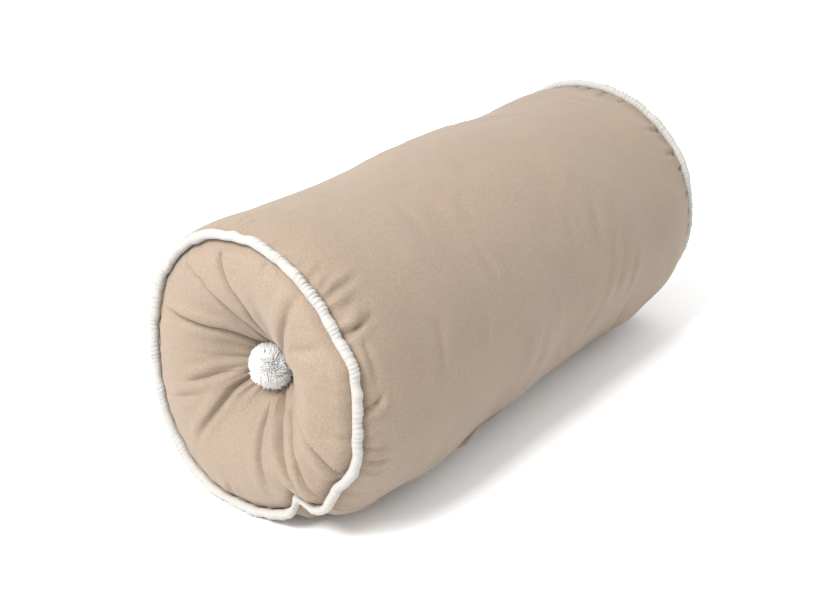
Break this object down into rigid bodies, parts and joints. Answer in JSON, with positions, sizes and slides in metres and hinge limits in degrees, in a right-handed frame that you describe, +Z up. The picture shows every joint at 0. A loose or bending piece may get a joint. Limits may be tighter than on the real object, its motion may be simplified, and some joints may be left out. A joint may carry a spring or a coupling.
{
  "type": "bolster pillow",
  "caption": "Round bolster pillow with piped, tufted ends, a pom-pom at each end and a concealed zip along its underside.",
  "frame": {"origin": "on the floor, under the middle of the roll: centre of the box that the part fills, at its lowest face", "axes": "+X along the roll, from the front end at -X to the rear end; +Z up; the zip lies low on the -Y flank"},
  "size_m": [0.484, 0.2206, 0.2097],
  "materials": {
    "tan_cotton": "plain-woven brushed cotton, matt",
    "ivory_cotton": "bias-cut plain cotton, matt",
    "cord_cotton": "twisted cotton cord",
    "tan_thread": "spun sewing thread",
    "white_yarn": "cut cotton yarn, fluffy",
    "white_thread": "waxed tufting thread",
    "zip_tape": "herringbone woven tape",
    "zip_coil": "nylon coil",
    "zip_metal": "nickel-plated die casting",
    "lining": "plain polyester-cotton lining",
    "fibre": "crimped polyester fibre"
  },
  "bodies": {
    "pillow": {"body_panel": "tan_cotton", "end_panel_front": "tan_cotton", "end_panel_rear": "tan_cotton", "piping_cover_front": "ivory_cotton", "piping_cover_rear": "ivory_cotton", "piping_cord_front": "cord_cotton", "piping_cord_rear": "cord_cotton", "gathering_thread_front": "tan_thread", "gathering_thread_rear": "tan_thread", "pompom_front": "white_yarn", "pompom_rear": "white_yarn", "pompom_tie_front": "white_thread", "pompom_tie_rear": "white_thread", "tufting_twine": "white_thread", "zip_tape_upper": "zip_tape", "zip_tape_lower": "zip_tape", "zip_coil_upper": "zip_coil", "zip_coil_lower": "zip_coil", "zip_top_stop": "zip_metal", "zip_bottom_stop": "zip_metal", "insert_body": "lining", "insert_end_front": "lining", "insert_end_rear": "lining", "insert_filling": "fibre"},
    "slider": {"zip_slider": "zip_metal"},
    "pull": {"zip_pull": "zip_metal"}
  },
  "joints": [
    {"name": "zip_slide", "type": "slide", "parent": "pillow", "child": "slider", "axis": [1, 0, 0], "range_m": [-0.3, 0]},
    {"name": "pull_flip", "type": "hinge", "parent": "slider", "child": "pull", "pos_m": [0.15, -0.07916, 0.02611], "axis": [0, -0.7314, 0.682], "range_deg": [0, 170]}
  ]
}
